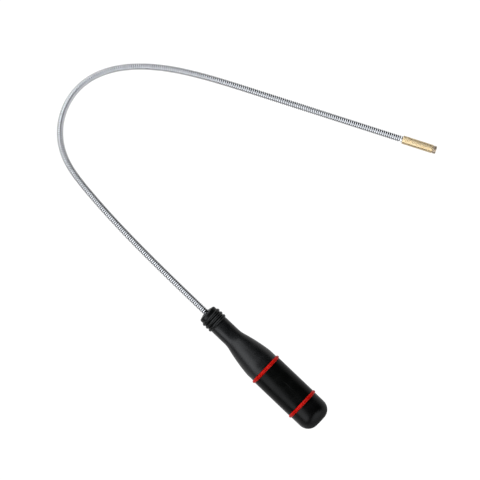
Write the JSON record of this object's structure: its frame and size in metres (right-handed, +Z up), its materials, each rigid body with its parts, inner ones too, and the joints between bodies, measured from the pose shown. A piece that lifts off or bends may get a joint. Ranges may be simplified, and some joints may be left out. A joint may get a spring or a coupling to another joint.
{
  "type": "flexible magnetic pick-up tool",
  "caption": "Magnetic pick-up tool: a bottle-shaped black handle with red rings and a bendable steel gooseneck that ends in a brass-sleeved magnet, for reaching small steel items.",
  "frame": {"origin": "centre of the handle's flat rear end, on the handle's axis", "axes": "+X along the handle from its rear end towards the gooseneck, +Z up from the surface that the tool lies on, +Y to the left; at rest the gooseneck curves round towards -Y"},
  "size_m": [0.3038, 0.2215, 0.0274],
  "materials": {
    "handle_plastic": "satin moulded",
    "grip_rubber": "fine matt",
    "collar_rubber": "satin",
    "ring_red": "glossy",
    "gooseneck_steel": "bright plated",
    "ferrule_steel": "plain",
    "sleeve_brass": "turned, polished",
    "magnet_nickel": "dark nickel plate"
  },
  "bodies": {
    "handle": {"handle_core": "handle_plastic", "end_cap": "handle_plastic", "rear_ring": "ring_red", "grip_sleeve": "grip_rubber", "front_ring": "ring_red", "front_shell": "handle_plastic", "neck_collar": "collar_rubber", "root_ferrule": "ferrule_steel", "gooseneck_root": "gooseneck_steel"},
    "link_01": {"gooseneck_link_01": "gooseneck_steel"},
    "link_02": {"gooseneck_link_02": "gooseneck_steel"},
    "link_03": {"gooseneck_link_03": "gooseneck_steel"},
    "link_04": {"gooseneck_link_04": "gooseneck_steel"},
    "link_05": {"gooseneck_link_05": "gooseneck_steel"},
    "link_06": {"gooseneck_link_06": "gooseneck_steel"},
    "link_07": {"gooseneck_link_07": "gooseneck_steel"},
    "link_08": {"gooseneck_link_08": "gooseneck_steel"},
    "link_09": {"gooseneck_link_09": "gooseneck_steel"},
    "link_10": {"gooseneck_link_10": "gooseneck_steel"},
    "link_11": {"gooseneck_link_11": "gooseneck_steel"},
    "link_12": {"gooseneck_link_12": "gooseneck_steel"},
    "link_13": {"gooseneck_link_13": "gooseneck_steel"},
    "link_14": {"gooseneck_link_14": "gooseneck_steel"},
    "link_15": {"gooseneck_link_15": "gooseneck_steel"},
    "link_16": {"gooseneck_link_16": "gooseneck_steel"},
    "link_17": {"gooseneck_link_17": "gooseneck_steel"},
    "link_18": {"gooseneck_link_18": "gooseneck_steel"},
    "link_19": {"gooseneck_link_19": "gooseneck_steel"},
    "link_20": {"gooseneck_link_20": "gooseneck_steel"},
    "link_21": {"gooseneck_link_21": "gooseneck_steel"},
    "link_22": {"gooseneck_link_22": "gooseneck_steel"},
    "link_23": {"gooseneck_link_23": "gooseneck_steel"},
    "link_24": {"gooseneck_link_24": "gooseneck_steel"},
    "link_25": {"gooseneck_link_25": "gooseneck_steel"},
    "link_26": {"gooseneck_link_26": "gooseneck_steel"},
    "link_27": {"gooseneck_link_27": "gooseneck_steel"},
    "link_28": {"gooseneck_link_28": "gooseneck_steel"},
    "link_29": {"gooseneck_link_29": "gooseneck_steel"},
    "link_30": {"gooseneck_link_30": "gooseneck_steel"},
    "link_31": {"gooseneck_link_31": "gooseneck_steel"},
    "link_32": {"gooseneck_link_32": "gooseneck_steel"},
    "link_33": {"gooseneck_link_33": "gooseneck_steel"},
    "link_34": {"gooseneck_link_34": "gooseneck_steel"},
    "link_35": {"gooseneck_link_35": "gooseneck_steel"},
    "link_36": {"gooseneck_link_36": "gooseneck_steel"},
    "link_37": {"gooseneck_link_37": "gooseneck_steel"},
    "link_38": {"gooseneck_link_38": "gooseneck_steel"},
    "link_39": {"gooseneck_link_39": "gooseneck_steel"},
    "link_40": {"gooseneck_link_40": "gooseneck_steel", "tip_ring": "gooseneck_steel", "tip_sleeve": "sleeve_brass", "tip_stud": "gooseneck_steel", "magnet": "magnet_nickel"}
  },
  "joints": [
    {"name": "yaw_01", "type": "hinge", "parent": "handle", "child": "link_01", "pos_m": [0.1237, 0, -0.00007], "axis": [0.0228, -0.005, 0.9997], "range_deg": [-6, 18]},
    {"name": "yaw_02", "type": "hinge", "parent": "link_01", "child": "link_02", "pos_m": [0.1353, -0.00001, -0.00056], "axis": [0.0607, -0.0051, 0.9981], "range_deg": [-6, 18]},
    {"name": "pitch_03", "type": "hinge", "parent": "link_02", "child": "link_03", "pos_m": [0.1469, -0.00005, -0.00145], "axis": [-0.0056, -1, 0], "range_deg": [-15, 15]},
    {"name": "yaw_04", "type": "hinge", "parent": "link_03", "child": "link_04", "pos_m": [0.1585, -0.00015, -0.00263], "axis": [0.1111, -0.0062, 0.9938], "range_deg": [-6, 18]},
    {"name": "yaw_05", "type": "hinge", "parent": "link_04", "child": "link_05", "pos_m": [0.1701, -0.00031, -0.00401], "axis": [0.1239, -0.0072, 0.9923], "range_deg": [-6, 18]},
    {"name": "pitch_06", "type": "hinge", "parent": "link_05", "child": "link_06", "pos_m": [0.18169, -0.00057, -0.00549], "axis": [-0.0268, -0.9996, 0], "range_deg": [-15, 15]},
    {"name": "yaw_07", "type": "hinge", "parent": "link_06", "child": "link_07", "pos_m": [0.19329, -0.00094, -0.00699], "axis": [0.1251, -0.0097, 0.9921], "range_deg": [-6, 18]},
    {"name": "yaw_08", "type": "hinge", "parent": "link_07", "child": "link_08", "pos_m": [0.20488, -0.00145, -0.00839], "axis": [0.1135, -0.0107, 0.9935], "range_deg": [-6, 18]},
    {"name": "pitch_09", "type": "hinge", "parent": "link_08", "child": "link_09", "pos_m": [0.21646, -0.00212, -0.00962], "axis": [-0.0658, -0.9978, 0], "range_deg": [-15, 15]},
    {"name": "yaw_10", "type": "hinge", "parent": "link_09", "child": "link_10", "pos_m": [0.22803, -0.00299, -0.01056], "axis": [0.0657, -0.0106, 0.9978], "range_deg": [-6, 18]},
    {"name": "yaw_11", "type": "hinge", "parent": "link_10", "child": "link_11", "pos_m": [0.23957, -0.0041, -0.01113], "axis": [0.0293, -0.0082, 0.9995], "range_deg": [-3, 18]},
    {"name": "yaw_12", "type": "hinge", "parent": "link_11", "child": "link_12", "pos_m": [0.25109, -0.00549, -0.01125], "axis": [-0.0007, -0.005, 1], "range_deg": [-3, 18]},
    {"name": "pitch_13", "type": "hinge", "parent": "link_12", "child": "link_13", "pos_m": [0.2625, -0.00756, -0.01125], "axis": [-0.2331, -0.9724, 0], "range_deg": [-15, 15]},
    {"name": "yaw_14", "type": "hinge", "parent": "link_13", "child": "link_14", "pos_m": [0.27349, -0.01121, -0.01125], "axis": [-0.002, -0.0046, 1], "range_deg": [-3, 18]},
    {"name": "yaw_15", "type": "hinge", "parent": "link_14", "child": "link_15", "pos_m": [0.28338, -0.01722, -0.01125], "axis": [-0.0031, -0.0039, 1], "range_deg": [-3, 18]},
    {"name": "pitch_16", "type": "hinge", "parent": "link_15", "child": "link_16", "pos_m": [0.29148, -0.02548, -0.01125], "axis": [-0.7944, -0.6074, 0], "range_deg": [-15, 15]},
    {"name": "yaw_17", "type": "hinge", "parent": "link_16", "child": "link_17", "pos_m": [0.29735, -0.03545, -0.01125], "axis": [-0.0046, -0.002, 1], "range_deg": [-3, 18]},
    {"name": "yaw_18", "type": "hinge", "parent": "link_17", "child": "link_18", "pos_m": [0.30069, -0.04653, -0.01125], "axis": [-0.0049, -0.0008, 1], "range_deg": [-3, 18]},
    {"name": "pitch_19", "type": "hinge", "parent": "link_18", "child": "link_19", "pos_m": [0.30119, -0.05809, -0.01125], "axis": [-0.9965, 0.084, 0], "range_deg": [-15, 15]},
    {"name": "yaw_20", "type": "hinge", "parent": "link_19", "child": "link_20", "pos_m": [0.29881, -0.06941, -0.01125], "axis": [-0.0047, 0.0016, 1], "range_deg": [-3, 18]},
    {"name": "yaw_21", "type": "hinge", "parent": "link_20", "child": "link_21", "pos_m": [0.29401, -0.07995, -0.01125], "axis": [-0.0043, 0.0025, 1], "range_deg": [-5, 18]},
    {"name": "yaw_22", "type": "hinge", "parent": "link_21", "child": "link_22", "pos_m": [0.28741, -0.08947, -0.01125], "axis": [-0.0039, 0.0032, 1], "range_deg": [-5, 18]},
    {"name": "pitch_23", "type": "hinge", "parent": "link_22", "child": "link_23", "pos_m": [0.27954, -0.09799, -0.01125], "axis": [-0.6952, 0.7188, 0], "range_deg": [-15, 15]},
    {"name": "yaw_24", "type": "hinge", "parent": "link_23", "child": "link_24", "pos_m": [0.27083, -0.10565, -0.01125], "axis": [-0.0031, 0.0039, 1], "range_deg": [-5, 18]},
    {"name": "yaw_25", "type": "hinge", "parent": "link_24", "child": "link_25", "pos_m": [0.26151, -0.11254, -0.01125], "axis": [-0.0028, 0.0041, 1], "range_deg": [-5, 18]},
    {"name": "pitch_26", "type": "hinge", "parent": "link_25", "child": "link_26", "pos_m": [0.25175, -0.11881, -0.01125], "axis": [-0.5173, 0.8558, 0], "range_deg": [-15, 15]},
    {"name": "yaw_27", "type": "hinge", "parent": "link_26", "child": "link_27", "pos_m": [0.2417, -0.1246, -0.01125], "axis": [-0.0024, 0.0044, 1], "range_deg": [-5, 18]},
    {"name": "yaw_28", "type": "hinge", "parent": "link_27", "child": "link_28", "pos_m": [0.23147, -0.13006, -0.01125], "axis": [-0.0023, 0.0044, 1], "range_deg": [-5, 18]},
    {"name": "pitch_29", "type": "hinge", "parent": "link_28", "child": "link_29", "pos_m": [0.22112, -0.13531, -0.01125], "axis": [-0.4454, 0.8953, 0], "range_deg": [-15, 15]},
    {"name": "yaw_30", "type": "hinge", "parent": "link_29", "child": "link_30", "pos_m": [0.21071, -0.14042, -0.01125], "axis": [-0.0022, 0.0045, 1], "range_deg": [-5, 18]},
    {"name": "yaw_31", "type": "hinge", "parent": "link_30", "child": "link_31", "pos_m": [0.20027, -0.14548, -0.01125], "axis": [-0.0022, 0.0045, 1], "range_deg": [-15, 18]},
    {"name": "yaw_32", "type": "hinge", "parent": "link_31", "child": "link_32", "pos_m": [0.18983, -0.15053, -0.01125], "axis": [-0.0022, 0.0045, 1], "range_deg": [-15, 18]},
    {"name": "pitch_33", "type": "hinge", "parent": "link_32", "child": "link_33", "pos_m": [0.17939, -0.15559, -0.01125], "axis": [-0.4356, 0.9001, 0], "range_deg": [-15, 15]},
    {"name": "yaw_34", "type": "hinge", "parent": "link_33", "child": "link_34", "pos_m": [0.16895, -0.16064, -0.01125], "axis": [-0.0022, 0.0045, 1], "range_deg": [-15, 18]},
    {"name": "yaw_35", "type": "hinge", "parent": "link_34", "child": "link_35", "pos_m": [0.1585, -0.16569, -0.01125], "axis": [-0.0017, 0.0047, 1], "range_deg": [-15, 18]},
    {"name": "pitch_36", "type": "hinge", "parent": "link_35", "child": "link_36", "pos_m": [0.14806, -0.17075, -0.01118], "axis": [-0.4356, 0.9001, 0], "range_deg": [-15, 15]},
    {"name": "yaw_37", "type": "hinge", "parent": "link_36", "child": "link_37", "pos_m": [0.13762, -0.1758, -0.01101], "axis": [0.0129, 0.0118, 0.9998], "range_deg": [-15, 18]},
    {"name": "yaw_38", "type": "hinge", "parent": "link_37", "child": "link_38", "pos_m": [0.12718, -0.18085, -0.01081], "axis": [0.0131, 0.0119, 0.9998], "range_deg": [-15, 18]},
    {"name": "pitch_39", "type": "hinge", "parent": "link_38", "child": "link_39", "pos_m": [0.11674, -0.18591, -0.01064], "axis": [-0.4356, 0.9001, 0], "range_deg": [-15, 15]},
    {"name": "yaw_40", "type": "hinge", "parent": "link_39", "child": "link_40", "pos_m": [0.1063, -0.19096, -0.01055], "axis": [-0.0005, 0.0053, 1], "range_deg": [-15, 18]}
  ],
  "couplings": [
    {"joint": "yaw_02", "follows": "yaw_01", "ratio": 1},
    {"joint": "yaw_04", "follows": "yaw_01", "ratio": 1},
    {"joint": "yaw_05", "follows": "yaw_01", "ratio": 1},
    {"joint": "pitch_06", "follows": "pitch_03", "ratio": 1},
    {"joint": "yaw_07", "follows": "yaw_01", "ratio": 1},
    {"joint": "yaw_08", "follows": "yaw_01", "ratio": 1},
    {"joint": "pitch_09", "follows": "pitch_03", "ratio": 1},
    {"joint": "yaw_10", "follows": "yaw_01", "ratio": 1},
    {"joint": "yaw_12", "follows": "yaw_11", "ratio": 1},
    {"joint": "yaw_14", "follows": "yaw_11", "ratio": 1},
    {"joint": "yaw_15", "follows": "yaw_11", "ratio": 1},
    {"joint": "pitch_16", "follows": "pitch_13", "ratio": 1},
    {"joint": "yaw_17", "follows": "yaw_11", "ratio": 1},
    {"joint": "yaw_18", "follows": "yaw_11", "ratio": 1},
    {"joint": "pitch_19", "follows": "pitch_13", "ratio": 1},
    {"joint": "yaw_20", "follows": "yaw_11", "ratio": 1},
    {"joint": "yaw_22", "follows": "yaw_21", "ratio": 1},
    {"joint": "yaw_24", "follows": "yaw_21", "ratio": 1},
    {"joint": "yaw_25", "follows": "yaw_21", "ratio": 1},
    {"joint": "pitch_26", "follows": "pitch_23", "ratio": 1},
    {"joint": "yaw_27", "follows": "yaw_21", "ratio": 1},
    {"joint": "yaw_28", "follows": "yaw_21", "ratio": 1},
    {"joint": "pitch_29", "follows": "pitch_23", "ratio": 1},
    {"joint": "yaw_30", "follows": "yaw_21", "ratio": 1},
    {"joint": "yaw_32", "follows": "yaw_31", "ratio": 1},
    {"joint": "yaw_34", "follows": "yaw_31", "ratio": 1},
    {"joint": "yaw_35", "follows": "yaw_31", "ratio": 1},
    {"joint": "pitch_36", "follows": "pitch_33", "ratio": 1},
    {"joint": "yaw_37", "follows": "yaw_31", "ratio": 1},
    {"joint": "yaw_38", "follows": "yaw_31", "ratio": 1},
    {"joint": "pitch_39", "follows": "pitch_33", "ratio": 1},
    {"joint": "yaw_40", "follows": "yaw_31", "ratio": 1}
  ]
}
